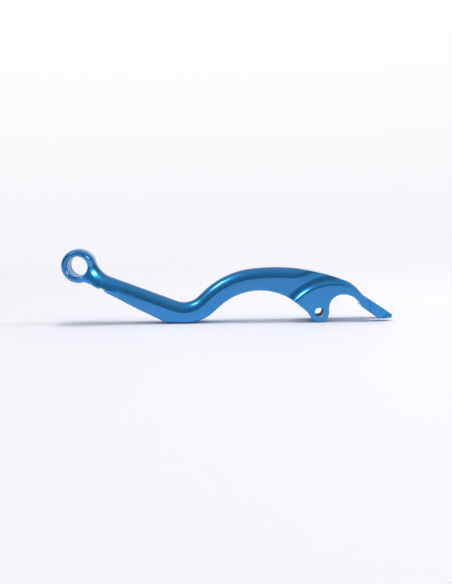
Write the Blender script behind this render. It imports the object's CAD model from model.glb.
"""One-piece machined clutch lever with two pressed pivot bushes.

X runs along the lever from the ball end (-X) to the tail (+X), Y is the thickness and Z is up.
The pivot axis is Y through the origin. The camera looks along +Y.

The side view (x, z) is drawn in millimetres from tangent lines and arcs, then triangulated. Each
point gets a half thickness, the result is mirrored in Y and closed, and it is scaled to metres.
"""

import math

import bmesh
import bpy
import numpy as np
from mathutils import Matrix, Vector
from mathutils.geometry import delaunay_2d_cdt


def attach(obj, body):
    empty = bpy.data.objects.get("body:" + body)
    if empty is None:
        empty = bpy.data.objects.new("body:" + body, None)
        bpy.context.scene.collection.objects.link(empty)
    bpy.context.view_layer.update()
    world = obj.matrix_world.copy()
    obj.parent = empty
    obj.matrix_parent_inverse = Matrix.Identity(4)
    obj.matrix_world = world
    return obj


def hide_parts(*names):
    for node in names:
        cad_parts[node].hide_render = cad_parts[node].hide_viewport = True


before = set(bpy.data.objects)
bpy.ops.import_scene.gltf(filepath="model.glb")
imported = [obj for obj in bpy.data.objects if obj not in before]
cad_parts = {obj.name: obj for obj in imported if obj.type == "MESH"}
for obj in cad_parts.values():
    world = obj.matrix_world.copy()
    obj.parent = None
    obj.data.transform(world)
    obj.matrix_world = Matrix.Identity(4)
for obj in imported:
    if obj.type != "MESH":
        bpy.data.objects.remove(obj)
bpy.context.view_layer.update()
scene = bpy.context.scene
MM = 0.001

# ------------------------------------------------------------------ dimensions, mm
ORIGIN = np.zeros(2)                # the pivot; all centres are (x, z)

# ball end: a ring with a rolled face
BALL = np.array([-134.8, 27.8])
BALL_R = 9.85
BORE_R = 5.75
BALL_HALF = 7.0                     # half thickness at the crest of the face
CREST_R = 7.0                       # radius of that crest
OUT_W = BALL_R - CREST_R
IN_W = CREST_R - BORE_R
IN_DROP = 1.5                       # fall of the face from crest to bore

# finger blade and its crowned upper edge: a tight arc on top, a slow one down the side
HALF_T = 5.0
CROWN_D = 5.6
TOP_R = 4.3
SIDE_R = 11.16
TURN = math.radians(30)             # flank angle where the two arcs meet
TOP_D = TOP_R * (1 - math.sin(TURN))
SIDE_D = TOP_D + SIDE_R * math.sin(TURN)
SIDE_Y = TOP_R * math.cos(TURN) - SIDE_R * math.cos(TURN)
RUN_A, RUN_B = -15.0, -3.0          # x where the crown starts to run out, and where it is gone

# fork, with a cove stepping up to it from the blade
HALF_F = 7.0
SLOT = 2.5                          # half width of the slot
SLOT_R = 23.0                       # slot floor, about the cove centre
COVE = np.array([8.4, -13.8])
COVE_OUT = 34.8
COVE_R = 7.5
LIP_ROUND = 2.0
COVE_T = math.acos(1 - (HALF_F - HALF_T) / (COVE_R + LIP_ROUND))    # steepest lean
COVE_W1 = COVE_R * math.sin(COVE_T)
COVE_W2 = (COVE_R + LIP_ROUND) * math.sin(COVE_T)
COVE_IN = COVE_OUT - COVE_W2
FORK_X = -30                        # the cove counts only beyond this x

# tail relief: a shallow V groove about the pivot, deepest at RELIEF_LOW
RELIEF_IN = 28.0
RELIEF_LOW = 28.9
RELIEF_OUT = 32.2
RELIEF_D = 0.8

# pivot hole: a lip at each face with a wider seat for the bushes behind it
LIP_R = 2.65
LIP_T = 2.2
LIP_BEVEL = 0.15
BUSH_R = 3.5
BUSH_BORE_R = 2.5
SEAT = HALF_F - LIP_T               # y of the seat's end

# lower edge: rounded on the handle, then a small bevel from LOW_BEVEL_X on
LOW_BEVEL_X = 14
LOW_BEVEL = 0.3

# round scallop in the underside by the ball end
NOTCH = np.array([-122.7, 12.75])
NOTCH_R = 2.6


# ------------------------------------------------------------------ plane geometry
def unit(v):
    return v / np.linalg.norm(v)


def left(v):
    return np.array([-v[1], v[0]])


def bearing(v):
    return math.atan2(v[1], v[0])


def away(points, centre=ORIGIN):
    return np.hypot(*(points - centre).T)


def arc_points(centre, radius, angles):
    return np.array([centre + radius * np.array([math.cos(t), math.sin(t)]) for t in angles])


def full_turn(count):
    return np.linspace(0, 2 * math.pi, count + 1)[:-1]


def line_cross(p, p_angle, q, q_angle):
    """Where the line through p at p_angle meets the line through q at q_angle."""
    tan_p, tan_q = math.tan(p_angle), math.tan(q_angle)
    x = (q[1] - p[1] + tan_p * p[0] - tan_q * q[0]) / (tan_p - tan_q)
    return np.array([x, p[1] + tan_p * (x - p[0])])


def circle_cross(p_out, p_in, centre, radius):
    """Where the segment from p_out to p_in enters a circle, by bisection."""
    outer, inner = 0.0, 1.0
    for _ in range(40):
        mid = (outer + inner) / 2
        if away(p_out + mid * (p_in - p_out), centre) > radius:
            outer = mid
        else:
            inner = mid
    return p_out + outer * (p_in - p_out)


def rounded(path, step=0.55, turn_step=3.0):
    """(x, z, radius) stations to points, each corner a true arc. The ends are kept."""
    corners = [np.array(station[:2], float) for station in path]
    points = [corners[0]]
    for i in range(1, len(path) - 1):
        corner = corners[i]
        radius = path[i][2]
        if radius < 0.01:
            points.append(corner)
            continue
        a = unit(corner - corners[i - 1])
        b = unit(corners[i + 1] - corner)
        turn = math.atan2(a[0] * b[1] - a[1] * b[0], a @ b)
        start = corner - radius * math.tan(abs(turn) / 2) * a
        centre = start + math.copysign(radius, turn) * left(a)
        count = max(2, math.ceil(abs(math.degrees(turn)) / turn_step),
                    math.ceil(abs(turn) * radius / step))
        x, z = start - centre
        for k in range(count + 1):
            w = turn * k / count
            points.append(centre + np.array([x * math.cos(w) - z * math.sin(w),
                                             x * math.sin(w) + z * math.cos(w)]))
    points.append(corners[-1])

    # drop near repeats and divide the long gaps
    out = [points[0]]
    for point in points[1:]:
        start = out[-1]
        gap = np.linalg.norm(point - start)
        if gap < 0.04:
            continue
        count = max(1, math.ceil(gap / step / 1.3))
        for k in range(1, count + 1):
            out.append(start + (point - start) * k / count)
    return np.array(out)


def dist_to(path, points):
    """Distance from each point to an open polyline, and the nearest place along it."""
    start = path[:-1]
    span = path[1:] - start
    span_sq = np.maximum((span ** 2).sum(1), 1e-12)
    best = np.empty(len(points))
    where = np.empty((len(points), 2))
    for k in range(0, len(points), 2000):
        p = points[k:k + 2000, None, :]
        t = np.clip(((p - start) * span).sum(2) / span_sq, 0, 1)
        foot = start + t[..., None] * span
        gap = np.hypot(*np.moveaxis(p - foot, 2, 0))
        j = gap.argmin(1)
        rows = np.arange(len(j))
        best[k:k + 2000] = gap[rows, j]
        where[k:k + 2000] = foot[rows, j]
    return best, where


def inside(polygon, points):
    """Even-odd test of points against a closed polygon."""
    x, z = points[:, 0], points[:, 1]
    hit = np.zeros(len(points), bool)
    for (ax, az), (bx, bz) in zip(polygon, np.roll(polygon, -1, axis=0)):
        if az == bz:
            continue
        hit ^= ((az > z) != (bz > z)) & (x < (bx - ax) * (z - az) / (bz - az) + ax)
    return hit


def smooth_step(start, end, x):
    t = np.clip((x - start) / (end - start), 0, 1)
    return t * t * (3 - 2 * t)


def smooth_min(a, b, blend):
    h = np.maximum(blend - np.abs(a - b), 0) / blend
    return np.minimum(a, b) - h * h * blend / 4


# ------------------------------------------------------------------ outline
SLOPE = math.radians(21.23)         # fall of the upper edge next to the ball end
RISE = math.radians(43.2)           # its climb towards the knuckle
CREST_SLOPE = math.radians(5.28)    # its climb past the knuckle
NECK_R = 13.0
blade_pt, rise_pt, crest_pt = np.array([-95, 12.62]), np.array([-66, 11.09]), np.array([-37.2, 24.76])

# the neck arc touches the ball end and the sloping line through blade_pt
blade_up = np.array([math.sin(SLOPE), math.cos(SLOPE)])
blade_along = np.array([math.cos(SLOPE), -math.sin(SLOPE)])
ball_h, ball_s = (BALL - blade_pt) @ blade_up, (BALL - blade_pt) @ blade_along
neck_reach = math.sqrt((BALL_R + NECK_R) ** 2 - (ball_h - NECK_R) ** 2)
neck_centre = blade_pt + (ball_s + neck_reach) * blade_along + NECK_R * blade_up
neck_touch = neck_centre + NECK_R * unit(BALL - neck_centre)
neck_dir = left(unit(BALL - neck_centre))
neck_out = unit(neck_touch - BALL)
neck_corner = line_cross(neck_touch, bearing(neck_dir), blade_pt, -SLOPE)
valley_corner = line_cross(blade_pt, -SLOPE, rise_pt, RISE)
knuckle_corner = line_cross(rise_pt, RISE, crest_pt, CREST_SLOPE)
SHOULDER = (18.63, 16.1)

# x, z, corner radius: clockwise from the neck, along the top to the tail tip, back underneath
edge_path = [
    (*neck_touch, 0), (*neck_corner, NECK_R), (*valley_corner, 11.85), (*knuckle_corner, 46.4),
    (-11.6, 27.12, 107), (*SHOULDER, 18), (23.9, 9.6, 0.8), (41.0, -2.1, 1.0),
    (40.9, -4.0, 0.9), (33.1, -4.0, 0.5), (23.3, 3.1, 1.2), (20.5, 9.95, 10.3),
    (5.4, 9.95, 7.6), (5.5, -5.5, 5.4), (-3.4, -5.5, 5.3), (-6.3, 0, 8),
    (-33.7, 23.1, 33.3), (-66.7, -5.7, 23), (-86.3, -4.9, 9), (-104.5, 4.3, 150),
    (-118.75, 12.3, 0), (-122.9, 14.75, 0), (-127.5, 17.25, 6), (-133.0, 18.75, 0),
]
run = rounded(edge_path)

# the underside stops where it meets the ring
end = len(run) - 1
while away(run[end], BALL) < BALL_R:
    end -= 1
web_hit = circle_cross(run[end], run[end + 1], BALL, BALL_R)
run = np.vstack([run[:end + 1], web_hit])

# ring: clockwise from there round the -X side to the neck
web_angle = bearing(web_hit - BALL)
ring_turn = (web_angle - bearing(neck_touch - BALL)) % (2 * math.pi)
ring_line = arc_points(BALL, BALL_R, web_angle - np.linspace(0, ring_turn, 111))[1:-1]

# underside points inside the notch give way to its arc
is_low = np.arange(len(run)) > len(run) // 2
in_notch = np.where((away(run, NOTCH) < NOTCH_R) & is_low)[0]
first, last = in_notch[0], in_notch[-1]
enter = bearing(circle_cross(run[first - 1], run[first], NOTCH, NOTCH_R) - NOTCH)
leave = bearing(circle_cross(run[last + 1], run[last], NOTCH, NOTCH_R) - NOTCH)
while leave < enter:
    leave += 2 * math.pi
notch_arc = arc_points(NOTCH, NOTCH_R, np.linspace(enter, leave, 26))
run = np.vstack([run[:first], notch_arc, run[last + 1:]])

outline = np.vstack([run, ring_line])
closed = np.vstack([outline, outline[:1]])
n_top = int(np.argmin(away(run, np.array(SHOULDER)))) + 1
top_line = run[:n_top]
low_line = run[n_top - 1:]
rim_line = np.vstack([ring_line, top_line])


# ------------------------------------------------------------------ half thickness
def crown(depth):
    """Half width of the crowned edge at a depth below its crest."""
    on_top = np.clip(depth, 0, TOP_D)
    top = np.sqrt(np.maximum(TOP_R ** 2 - (TOP_R - on_top) ** 2, 0))
    on_side = np.clip(depth, TOP_D, SIDE_D)
    side = SIDE_Y + np.sqrt(SIDE_R ** 2 - (SIDE_D - on_side) ** 2)
    return np.where(depth < TOP_D, top, side)


def lift_at(x):
    """How far the form cutter has left the work: nothing on the blade, the whole crown by RUN_B."""
    t = np.clip((x - RUN_A) / (RUN_B - RUN_A), 0, 1)
    return CROWN_D * t ** 1.5


def crease_blend(x):
    """Softness of the crease under the crown: crisp on the blade, lost in the neck."""
    return 0.03 + 1.1 * (1 - smooth_step(-126.0, -115.5, x)) + 0.05 * smooth_step(-18, -6, x)


def low_round(x):
    """Radius of the lower edges: larger along the blade than towards the fork."""
    return 0.35 + 0.75 * (1 - smooth_step(-31, -16, x))


def neck_height(from_ball):
    """Flat half thickness, swelling from the blade into the ring."""
    return HALF_T + (BALL_HALF - HALF_T) * (1 - smooth_step(13.0, 30.0, from_ball))


def ring_height(q, from_ball, from_low):
    """One rolled section swept along the ring and on into the neck."""
    from_rim, _ = dist_to(rim_line, q)
    # towards the neck the upper roll widens and softens, and the lower one narrows
    grow = smooth_step(7.5, 12.5, from_ball)
    power = 3.0 - 0.3 * grow
    low_width = OUT_W - 1.35 * smooth_step(9.5, 15.0, from_ball)
    u = 1 - np.clip(from_rim / (OUT_W + 0.2 * grow), 0, 1)
    w = 1 - np.clip(from_low / low_width, 0, 1)
    y = neck_height(from_ball) * np.sqrt(np.maximum(1 - np.maximum(u ** power, w ** 3), 0))
    inward = np.clip((CREST_R - from_ball) / IN_W, 0, 1)
    return y - IN_DROP * (1 - np.sqrt(np.maximum(1 - inward ** 2, 0)))


def fork_height(from_cove):
    """Cove rising from the blade's flat, then a rounded lip at the fork's flat."""
    c = np.clip(COVE_OUT - from_cove, 0, COVE_W2)
    cove = HALF_T + COVE_R - np.sqrt(COVE_R ** 2 - np.minimum(c, COVE_W1) ** 2)
    lip = HALF_F - LIP_ROUND + np.sqrt(np.maximum(LIP_ROUND ** 2 - (COVE_W2 - c) ** 2, 0))
    return np.where(c < COVE_W1, cove, lip)


def relief_depth(from_pivot):
    near_side = (from_pivot - RELIEF_IN) / (RELIEF_LOW - RELIEF_IN)
    far_side = (RELIEF_OUT - from_pivot) / (RELIEF_OUT - RELIEF_LOW)
    return RELIEF_D * np.clip(np.where(from_pivot < RELIEF_LOW, near_side, far_side), 0, 1)


def low_edge_cut(x, from_low):
    """What the rounded or bevelled lower edge takes off."""
    radius = low_round(x)
    reach = np.clip(from_low, 0, radius)
    roll = radius - np.sqrt(np.maximum(radius ** 2 - (radius - reach) ** 2, 0))
    return np.where(x < LOW_BEVEL_X, roll, np.maximum(LOW_BEVEL - from_low, 0))


def height(q):
    """Half thickness of the finished lever at each (x, z)."""
    x = q[:, 0]
    from_top, nearest = dist_to(top_line, q)
    from_low, _ = dist_to(low_line, q)
    from_ball, from_cove, from_pivot = away(q, BALL), away(q, COVE), away(q)
    top_x = nearest[:, 0]

    # finger blade, scaled up as the neck swells
    swell = neck_height(from_ball) / HALF_T
    depth = from_top + lift_at(top_x)
    y = swell * smooth_min(crown(depth / swell), HALF_T, crease_blend(top_x))

    # fork and tail relief
    on_fork = (x > FORK_X) & (from_cove < COVE_OUT)
    y = np.where(on_fork, np.maximum(fork_height(from_cove), y), y)
    grooved = on_fork & (from_cove < COVE_IN) & (x > 15)
    y = np.where(grooved, y - relief_depth(from_pivot), y)

    y = y - low_edge_cut(x, from_low)

    # broken edge along the top of the fork, wider and shallower over x 9 to 24.5
    narrow = 0.2 * smooth_step(RUN_B, RUN_B + 3, x)
    wide = 0.85 * (smooth_step(9, 17, x) - smooth_step(22.5, 24.5, x))
    broken = y - np.maximum(narrow - from_top, 0) - 0.52 * np.maximum(wide - from_top, 0)
    y = np.where(x > RUN_B, broken, y)

    # ring, faded out along the neck and with distance
    near = from_ball < 17.0
    v = q[near] - BALL
    share = 1 - smooth_step(-6.0, 6.0, v @ neck_dir) * smooth_step(0.0, 9.0, v @ neck_out)
    share *= 1 - smooth_step(9.0, 17.0, from_ball[near])
    ring = ring_height(q[near], from_ball[near], from_low[near])
    y[near] = share * ring + (1 - share) * y[near]

    # bevelled mouth of the pivot hole
    y = y - np.clip(LIP_R + LIP_BEVEL - from_pivot, 0, LIP_BEVEL)
    return np.maximum(y, 0)


# ------------------------------------------------------------------ sample points and kept lines
samples, kept_edges = [], []


def put(points, join=True, close=False, keep=None):
    """Add sample points, joined along the line wherever neighbours are both kept."""
    ids = []
    for i, point in enumerate(points):
        if keep is not None and not keep[i]:
            ids.append(None)
            continue
        ids.append(len(samples))
        samples.append((float(point[0]), float(point[1])))
    if join:
        pairs = list(zip(ids, ids[1:]))
        if close:
            pairs.append((ids[-1], ids[0]))
        kept_edges.extend((a, b) for a, b in pairs if a is not None and b is not None)


def inward_normals(loop):
    """Unit normals to the right of a closed clockwise loop."""
    d = np.roll(loop, -1, axis=0) - np.roll(loop, 1, axis=0)
    d = d / np.linalg.norm(d, axis=1)[:, None]
    return np.stack([d[:, 1], -d[:, 0]], axis=1)


def in_body(q, gap=0.0):
    return inside(outline, q) & (away(q, BALL) > BORE_R + gap) & (away(q) > LIP_R + gap)


def put_row(line, normals, offset, where):
    """A row parallel to a line, less what falls nearer some other part of the outline."""
    offset = np.broadcast_to(offset, len(line))
    q = line + normals * offset[:, None]
    from_edge, _ = dist_to(closed, q)
    put(q, keep=in_body(q, 0.05) & (from_edge > offset - 0.03) & where(q))


def put_arc(centre, radius, angles, gap, where=None, join=True):
    """The part of an arc that lies inside the outline, clear of it by gap."""
    q = arc_points(centre, radius, angles)
    keep = inside(outline, q) & (dist_to(closed, q)[0] > gap)
    if where is not None:
        keep &= where(q)
    put(q, join=join, keep=keep)


def clear_of_ball(q):
    return away(q, BALL) > BALL_R + 0.15


def sample_edges():
    put(outline, close=True)
    normals = inward_normals(outline)
    top_normals = normals[:n_top]
    low_normals = normals[n_top - 1:len(run)]

    # crowned edge: rows at even turns of the arc, then the flank, then the crease
    turns = np.radians(np.linspace(0, 60, 15))[1:]
    depths = list(TOP_R * (1 - np.cos(turns)))
    depths += [2.6, 3.1, 3.6, 4.1, 4.6, 5.1, 5.45, CROWN_D, 5.8]
    for depth in depths:
        put_row(top_line, top_normals, depth,
                lambda q: (q[:, 0] < RUN_A - 0.2) & clear_of_ball(q))
    # run-out: the same rows, less the lift of the cutter, while they stay in the work
    x = top_line[:, 0]
    for depth in depths:
        offset = depth - lift_at(x)
        in_work = (x > RUN_A - 0.1) & (x < RUN_B + 0.6) & (offset > 0.05)
        q = top_line + top_normals * offset[:, None]
        put(q, keep=in_work & in_body(q, 0.05))

    # lower edges: even turns of the round, then the foot of the bevel
    for turn in np.radians(np.linspace(0, 90, 11))[1:]:
        put_row(low_line, low_normals, low_round(low_line[:, 0]) * (1 - np.cos(turn)),
                lambda q: (q[:, 0] < LOW_BEVEL_X) & clear_of_ball(q))
    put_row(low_line, low_normals, LOW_BEVEL, lambda q: q[:, 0] > LOW_BEVEL_X)

    # broken top edge of the fork
    for offset in (0.1, 0.2, 0.3):
        put_row(top_line, top_normals, offset, lambda q: q[:, 0] > RUN_B + 0.8)
    for offset in (0.45, 0.6, 0.75, 0.86, 1.0):
        put_row(top_line, top_normals, offset, lambda q: q[:, 0] > 9)


def sample_circles():
    # ring: outside the crest, closing up towards the rim, then inside it at even turns
    rim_steps = 1 - 0.45 * (1 - np.linspace(0, 1, 19)[1:-1]) ** 2.0
    for k in list(np.linspace(0, 0.55, 7)) + list(rim_steps):
        put(arc_points(BALL, CREST_R + OUT_W * k, full_turn(150)), close=True)
    for turn in np.radians(np.linspace(0, 90, 13))[1:]:
        put(arc_points(BALL, CREST_R - IN_W * math.sin(turn), full_turn(150)), close=True)
    # neck, below the crown
    for radius in (9.65, 9.85, 10.1, 10.4, 10.7, 11.0, 11.4, 11.8, 12.2,
                   12.6, 13.0, 13.5, 14.0, 14.5, 15.0, 15.6, 16.3, 17.0):
        put_arc(BALL, radius, np.linspace(0, 2 * math.pi, 151), 0.12,
                lambda q: dist_to(top_line, q)[0] > CROWN_D + 0.25, join=False)
    # pivot hole and its mouth
    for radius in (LIP_R, LIP_R + LIP_BEVEL):
        put(arc_points(ORIGIN, radius, full_turn(96)), close=True)
    # cove and lip
    turns = np.linspace(0, COVE_T, 16)
    radii = list(COVE_OUT - COVE_R * np.sin(turns))
    radii += list(COVE_IN + LIP_ROUND * np.sin(turns[:-1][::3]))
    for radius in radii:
        put_arc(COVE, radius, np.radians(np.arange(30, 160, 1.0)), 0.05,
                lambda q: q[:, 0] > FORK_X)
    # tail relief
    for radius in (RELIEF_IN, RELIEF_LOW, RELIEF_OUT):
        put_arc(ORIGIN, radius, np.radians(np.arange(-30, 45, 0.8)), 0.05,
                lambda q: away(q, COVE) < COVE_IN)


def sample_flats():
    """A loose grid, its columns waved to avoid straight rows, clear of the lines above."""
    grid_x, grid_z = np.meshgrid(np.arange(-146, 44, 1.6), np.arange(-7, 38, 1.6))
    waved_x = grid_x.ravel() + 0.3 * np.sin(grid_z.ravel() * 3.1)
    q = np.stack([waved_x, grid_z.ravel()], axis=1)
    q = q[in_body(q, 0.4)]
    q = q[dist_to(closed, q)[0] > 1.4]
    from_top, nearest = dist_to(top_line, q)
    q = q[(from_top > CROWN_D + 0.7) | (nearest[:, 0] > RUN_B + 1)]
    put(q[away(q, BALL) > 17.2], join=False)


# ------------------------------------------------------------------ mesh helpers
def add_object(name, data):
    ob = bpy.data.objects.new(name, data)
    scene.collection.objects.link(ob)
    return ob


def bmesh_object(name, bm):
    bmesh.ops.recalc_face_normals(bm, faces=bm.faces[:])
    mesh = bpy.data.meshes.new(name)
    bm.to_mesh(mesh)
    bm.free()
    return add_object(name, mesh)


def weld(bm, dist):
    bmesh.ops.remove_doubles(bm, verts=bm.verts[:], dist=dist)
    bmesh.ops.dissolve_degenerate(bm, edges=bm.edges[:], dist=1e-6)


def shade_smooth(mesh, sharp_degrees):
    mesh.polygons.foreach_set("use_smooth", [True] * len(mesh.polygons))
    mesh.set_sharp_from_angle(angle=math.radians(sharp_degrees))


# ------------------------------------------------------------------ lever body
def triangulate():
    """Points and triangles of the side view, holes left out."""
    flat_verts, _, flat_faces, *_ = delaunay_2d_cdt(
        [Vector(v) for v in samples], kept_edges, [], 0, 0.004)
    points = np.array([tuple(v) for v in flat_verts])
    centres = np.array([points[list(t)].mean(0) for t in flat_faces])
    triangles = [t for t, good in zip(flat_faces, in_body(centres, -0.01)) if good]
    used = sorted({i for t in triangles for i in t})
    index = {old: new for new, old in enumerate(used)}
    return points[used], [tuple(index[i] for i in t) for t in triangles]


def close_skin(points, triangles):
    """Coordinates and faces of both skins and the walls joining them."""
    half = height(points)
    half[half < 0.004] = 0.0
    n = len(points)
    x, z = points[:, 0], points[:, 1]
    coords = np.vstack([np.column_stack([x, -half, z]), np.column_stack([x, half, z])])

    faces = []
    directed = {}                   # a dict keeps the edges in order
    for t in triangles:
        a, b, c = points[list(t)]
        if (b[0] - a[0]) * (c[1] - a[1]) - (b[1] - a[1]) * (c[0] - a[0]) < 0:
            t = t[::-1]
        faces.append(t)             # counter-clockwise seen along +Y: faces -Y
        faces.append(tuple(n + i for i in t[::-1]))
        for edge in zip(t, t[1:] + t[:1]):
            directed[edge] = True

    seat_coords = []
    stations = {}

    def wall_stations(i, at_pivot):
        """Vertices across the thickness at rim point i, from -Y to +Y."""
        if i not in stations:
            ids = [i]
            if at_pivot:
                px, pz = points[i]
                k = BUSH_R / math.hypot(px, pz)
                for scale, y in ((1, -SEAT), (k, -SEAT), (k, SEAT), (1, SEAT)):
                    ids.append(2 * n + len(seat_coords))
                    seat_coords.append((px * scale, y, pz * scale))
            stations[i] = ids + [n + i]
        return stations[i]

    for u, v in directed:
        if (v, u) in directed:
            continue
        at_pivot = max(math.hypot(*points[u]), math.hypot(*points[v])) < LIP_R + 0.1
        wall_u, wall_v = wall_stations(u, at_pivot), wall_stations(v, at_pivot)
        for k in range(len(wall_u) - 1):
            faces.append((wall_v[k], wall_u[k], wall_u[k + 1], wall_v[k + 1]))
    return np.vstack([coords, np.array(seat_coords)]), faces


def build_body():
    sample_edges()
    sample_circles()
    sample_flats()
    coords, faces = close_skin(*triangulate())
    bm = bmesh.new()
    verts = [bm.verts.new(tuple(p * MM)) for p in coords]
    for face in faces:
        try:
            bm.faces.new([verts[i] for i in face])
        except ValueError:
            pass                    # guards against the triangulation giving a face twice
    weld(bm, 2e-6)
    return bmesh_object("lever_body", bm)


def prism(name, loop, half):
    """The (x, z) loop extruded to half on either side of y = 0."""
    bm = bmesh.new()
    near = [bm.verts.new((x * MM, -half * MM, z * MM)) for x, z in loop]
    far = [bm.verts.new((x * MM, half * MM, z * MM)) for x, z in loop]
    bm.faces.new(near)
    bm.faces.new(far[::-1])
    for i in range(len(loop)):
        j = (i + 1) % len(loop)
        bm.faces.new((near[j], near[i], far[i], far[j]))
    return bmesh_object(name, bm)


def cut(target, loop, half, name):
    tool = prism(name, loop, half)
    mod = target.modifiers.new("cut", "BOOLEAN")
    mod.operation = "DIFFERENCE"
    mod.solver = "EXACT"
    mod.object = tool
    depsgraph = bpy.context.evaluated_depsgraph_get()
    result = bpy.data.meshes.new_from_object(target.evaluated_get(depsgraph))
    target.modifiers.clear()
    old = target.data
    target.data = result
    bpy.data.meshes.remove(old)
    bpy.data.objects.remove(tool, do_unlink=True)


def cut_slots(body):
    """The slot between the cheeks, and the tail split beyond the relief's inner radius."""
    slot_loop = arc_points(COVE, SLOT_R, np.radians(np.arange(0.4, 360.4, 3.0)))
    cut(body, slot_loop, SLOT, "slot_tool")
    tail_arc = arc_points(ORIGIN, RELIEF_IN, np.radians(np.arange(40.0, -26.0, -2.0)))
    cut(body, [(50.0, -12.0), (50.0, 18.0), *tail_arc], SLOT, "tail_tool")
    bm = bmesh.new()
    bm.from_mesh(body.data)
    weld(bm, 1e-6)
    bm.to_mesh(body.data)
    bm.free()
    shade_smooth(body.data, 9.0)


# ------------------------------------------------------------------ bushes
def bush(name, y_in, y_out):
    """A plain lathed bush with broken edges. y_out is the end against the lip."""
    way = 1 if y_out > y_in else -1
    bore_break, rim_break = 0.25, 0.12
    segments = 128
    profile = [                     # radius, y
        (BUSH_BORE_R, y_in + way * bore_break), (BUSH_BORE_R + bore_break, y_in),
        (BUSH_R - rim_break, y_in), (BUSH_R, y_in + way * rim_break),
        (BUSH_R, y_out - way * rim_break), (BUSH_R - rim_break, y_out),
        (BUSH_BORE_R + bore_break, y_out), (BUSH_BORE_R, y_out - way * bore_break),
    ]
    bm = bmesh.new()
    angles = [2 * math.pi * k / segments for k in range(segments)]
    rings = [[bm.verts.new((r * math.cos(t) * MM, y * MM, r * math.sin(t) * MM)) for t in angles]
             for r, y in profile]
    for ring, following in zip(rings, rings[1:] + rings[:1]):
        for k in range(segments):
            j = (k + 1) % segments
            bm.faces.new((ring[k], ring[j], following[j], following[k]))
    ob = bmesh_object(name, bm)
    shade_smooth(ob.data, 25)
    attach(ob, "root")
    return ob


body = build_body()
cut_slots(body)
bush_near = bush("bush_near", -SLOT, -SEAT)
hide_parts("pivot_bush_near")
bush_far = bush("bush_far", SLOT, SEAT)
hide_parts("pivot_bush_far")
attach(body, "root")
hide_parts("lever_blade")


# ------------------------------------------------------------------ materials
class Shader:
    """Short calls for one node tree. An input may be given a value or a socket to link."""

    def __init__(self, owner):
        owner.use_nodes = True
        self.tree = owner.node_tree
        self.tree.nodes.clear()

    def add(self, kind, inputs=None, **settings):
        node = self.tree.nodes.new(kind)
        for name, value in settings.items():
            setattr(node, name, value)
        for key, value in (inputs or {}).items():
            if isinstance(value, bpy.types.NodeSocket):
                self.tree.links.new(value, node.inputs[key])
            else:
                node.inputs[key].default_value = value
        return node

    def calc(self, operation, *values, clamp=False):
        return self.add("ShaderNodeMath", dict(enumerate(values)),
                        operation=operation, use_clamp=clamp).outputs[0]

    def coords(self):
        return self.add("ShaderNodeTexCoord").outputs["Object"]

    def split(self, vector):
        return self.add("ShaderNodeSeparateXYZ", {0: vector}).outputs

    def noise(self, coord, stretch, detail, roughness):
        mapped = self.add("ShaderNodeMapping", {"Scale": stretch, "Vector": coord})
        return self.add("ShaderNodeTexNoise", {
            "Vector": mapped.outputs["Vector"], "Scale": 1.0,
            "Detail": detail, "Roughness": roughness}).outputs["Fac"]

    def mix_colour(self, factor, a, b):
        # 0, 6 and 7 are the factor and the two colours; output 2 is the colour
        return self.add("ShaderNodeMix", {0: factor, 6: a, 7: b}, data_type="RGBA").outputs[2]

    def mix_shader(self, factor, a, b):
        return self.add("ShaderNodeMixShader", {0: factor, 1: a, 2: b}).outputs[0]

    def bump(self, height, strength, distance, **normal):
        return self.add("ShaderNodeBump", {"Height": height, "Strength": strength,
                                           "Distance": distance, **normal}).outputs[0]

    def ramp(self, value, start, end, low=0.0, high=1.0, kind="SMOOTHSTEP"):
        return self.add("ShaderNodeMapRange", {
            "Value": value, "From Min": start, "From Max": end,
            "To Min": low, "To Max": high}, interpolation_type=kind).outputs[0]

    def principled(self, inputs):
        return self.add("ShaderNodeBsdfPrincipled", inputs).outputs[0]

    def output(self, surface, kind="Material"):
        self.add("ShaderNodeOutput" + kind, {"Surface": surface})


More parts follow.
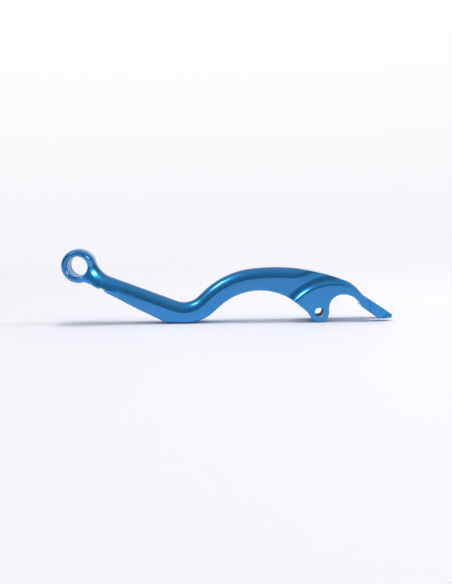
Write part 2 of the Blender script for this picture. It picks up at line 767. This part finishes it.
def anodised():
    material = bpy.data.materials.new("anodised_blue")
    g = Shader(material)
    at = g.coords()
    # milling lines run along the blade, so their noise is stretched in X
    lines = g.noise(at, (90.0, 2500.0, 5200.0), detail=4.0, roughness=0.6)
    fine = g.noise(at, (5200.0, 5200.0, 5200.0), detail=2.0, roughness=0.5)
    cloud = g.noise(at, (60.0, 60.0, 60.0), detail=3.0, roughness=0.5)
    dye = g.noise(at, (22.0, 22.0, 22.0), detail=2.0, roughness=0.5)
    base = g.mix_colour(dye, (0.011, 0.235, 0.60, 1), (0.015, 0.275, 0.68, 1))

    # handled edges, where the bevelled normal leaves the true one, lose a little dye
    bevel = g.add("ShaderNodeBevel", {"Radius": 0.00022}, samples=6).outputs[0]
    normal = g.add("ShaderNodeNewGeometry").outputs["Normal"]
    facing = g.add("ShaderNodeVectorMath", {0: bevel, 1: normal}, operation="DOT_PRODUCT")
    edge = g.calc("SUBTRACT", 1.0, facing.outputs["Value"])
    edge = g.calc("MULTIPLY", edge, 4.0, clamp=True)
    patchy = g.calc("MULTIPLY_ADD", cloud, 0.9, 0.05)
    edge = g.calc("MULTIPLY", edge, patchy, clamp=True)

    # the ball end's bore is left as bored: rougher, and with a thinner seal
    x, _, z = g.split(at)
    dx = g.calc("SUBTRACT", x, float(BALL[0]) * MM)
    dz = g.calc("SUBTRACT", z, float(BALL[1]) * MM)
    squared = g.calc("ADD", g.calc("MULTIPLY", dx, dx), g.calc("MULTIPLY", dz, dz))
    bored = g.calc("LESS_THAN", g.calc("SQRT", squared), (BORE_R + 0.12) * MM)
    rough = g.calc("MULTIPLY_ADD", cloud, 0.05, 0.235)
    rough = g.calc("MULTIPLY_ADD", lines, 0.06, rough)
    rough = g.calc("MULTIPLY_ADD", bored, 0.20, rough)

    milled = g.bump(lines, strength=0.06, distance=0.00003, Normal=bevel)
    g.output(g.principled({
        "Base Color": g.mix_colour(edge, base, (0.10, 0.36, 0.72, 1)),
        "Metallic": 1.0,
        "Roughness": rough,
        "Coat Weight": g.calc("MULTIPLY_ADD", bored, -0.45, 1.0),
        "Coat Roughness": 0.11,
        "Coat IOR": 1.5,
        "Normal": g.bump(fine, strength=0.08, distance=0.00002, Normal=milled),
    }))
    return material


def steel():
    material = bpy.data.materials.new("bush_steel")
    g = Shader(material)
    at = g.coords()
    # turning marks ring the Y axis, so their noise is squeezed in Y
    turned = g.noise(at, (300.0, 9000.0, 300.0), detail=3.0, roughness=0.6)
    spots = g.noise(at, (900.0, 900.0, 900.0), detail=3.0, roughness=0.5)
    g.output(g.principled({
        "Base Color": g.mix_colour(spots, (0.10, 0.13, 0.20, 1), (0.16, 0.20, 0.28, 1)),
        "Metallic": 1.0,
        "Roughness": g.calc("MULTIPLY_ADD", spots, 0.15, 0.24),
        "Normal": g.bump(turned, strength=0.25, distance=0.00003),
    }))
    return material


def floor_paper():
    """Pale paper, clear from below and fading out towards +Y."""
    material = bpy.data.materials.new("floor_paper")
    g = Shader(material)
    paper = g.principled({"Base Color": (0.87, 0.862, 0.905, 1), "Roughness": 0.75,
                          "Specular IOR Level": 0.2})
    clear = g.add("ShaderNodeBsdfTransparent").outputs[0]
    geometry = g.add("ShaderNodeNewGeometry").outputs
    fade = g.ramp(g.split(geometry["Position"])["Y"], start=0.05, end=0.45)
    g.output(g.mix_shader(g.calc("MAXIMUM", geometry["Backfacing"], fade), paper, clear))
    return material


blue, grey = anodised(), steel()
body.data.materials.clear()
body.data.materials.append(blue)
for polygon in body.data.polygons:
    polygon.material_index = 0
for ob in (bush_near, bush_far):
    ob.data.materials.append(grey)

# ------------------------------------------------------------------ floor
FLOOR_Z = -5.58 * MM
floor_mesh = bpy.data.meshes.new("floor")
floor_mesh.from_pydata([(-0.9, -0.31, FLOOR_Z), (0.9, -0.31, FLOOR_Z),
                        (0.9, 0.9, FLOOR_Z), (-0.9, 0.9, FLOOR_Z)], [], [(0, 1, 2, 3)])
floor = add_object("floor", floor_mesh)
floor.data.materials.append(floor_paper())


# ------------------------------------------------------------------ world
def studio():
    """Camera rays see plain paper. Others see a room bright at +Y and overhead, dim at -Y."""
    world = bpy.data.worlds.new("studio")
    g = Shader(world)
    _, y, z = g.split(g.add("ShaderNodeTexCoord").outputs["Generated"])
    back = g.ramp(y, start=0.55, end=0.96, low=0.0, high=0.80)
    roof = g.ramp(z, start=0.45, end=0.95, low=0.25, high=0.60)
    room = g.add("ShaderNodeBackground", {"Color": (0.96, 0.97, 1.0, 1),
                                          "Strength": g.calc("ADD", back, roof)})
    climb = g.ramp(z, start=-0.06, end=0.24, kind="LINEAR")
    paper = g.mix_colour(climb, (0.922, 0.914, 0.955, 1), (1.0, 0.995, 1.0, 1))
    seen = g.add("ShaderNodeBackground", {"Color": paper})
    is_camera = g.add("ShaderNodeLightPath").outputs["Is Camera Ray"]
    g.output(g.mix_shader(is_camera, room.outputs[0], seen.outputs[0]), kind="World")
    return world


scene.world = studio()


# ------------------------------------------------------------------ lights
def softbox(name, at, aim_z, size, power):
    """A rectangular light, unseen by the camera, aimed at the middle of the lever."""
    light = bpy.data.lights.new(name, "AREA")
    light.shape = "RECTANGLE"
    light.size, light.size_y = size
    light.energy = power
    ob = add_object(name, light)
    ob.location = at
    ob.rotation_mode = "QUATERNION"
    aim = Vector((-0.05, 0, aim_z))
    ob.rotation_quaternion = (aim - Vector(at)).to_track_quat("-Z", "Y")
    ob.visible_camera = False
    return ob


# name, place in m, size in m, power in W
REFLECTED_BOXES = [
    ("box_left", (-0.986, -0.90, 1.252), (0.44, 0.44), 5.6),
    ("box_right", (1.20, -0.99, 0.80), (0.64, 0.64), 15.0),
]
DIFFUSE_BOXES = [
    ("box_top", (-0.03, 0.02, 1.25), (0.40, 0.22), 5.0),
    ("box_side", (1.05, -0.02, 0.50), (0.22, 0.12), 4.2),
    ("box_fill", (-0.03, 0.0, 1.6), (2.4, 2.4), 9.3),
]
for name, at, size, power in REFLECTED_BOXES:
    softbox(name, at, aim_z=0.01, size=size, power=power).visible_diffuse = False
for name, at, size, power in DIFFUSE_BOXES:
    softbox(name, at, aim_z=0.0, size=size, power=power).visible_glossy = False


# ------------------------------------------------------------------ camera
def add_camera():
    """Looks along +Y and a little down, with a slight turn and roll."""
    pitch, roll, yaw = math.radians(8.25), math.radians(1.0), math.radians(0.66)
    forward = Vector((-math.sin(yaw) * math.cos(pitch), math.cos(yaw) * math.cos(pitch),
                      -math.sin(pitch)))
    level_right = Vector((math.cos(yaw), math.sin(yaw), 0))
    level_up = level_right.cross(forward)
    right = level_right * math.cos(roll) - level_up * math.sin(roll)
    up = level_up * math.cos(roll) + level_right * math.sin(roll)

    lens = bpy.data.cameras.new("camera")
    lens.sensor_fit = "AUTO"
    lens.sensor_width = 36.0
    lens.lens = 42.5342466
    lens.clip_start = 0.01
    lens.clip_end = 20.0
    camera = add_object("camera", lens)
    camera.rotation_mode = "QUATERNION"
    camera.location = Vector((-47.73, -387.51, 67.64)) * MM
    camera.rotation_quaternion = Matrix((right, up, -forward)).transposed().to_quaternion()
    scene.camera = camera


add_camera()
scene.view_settings.view_transform = "Standard"
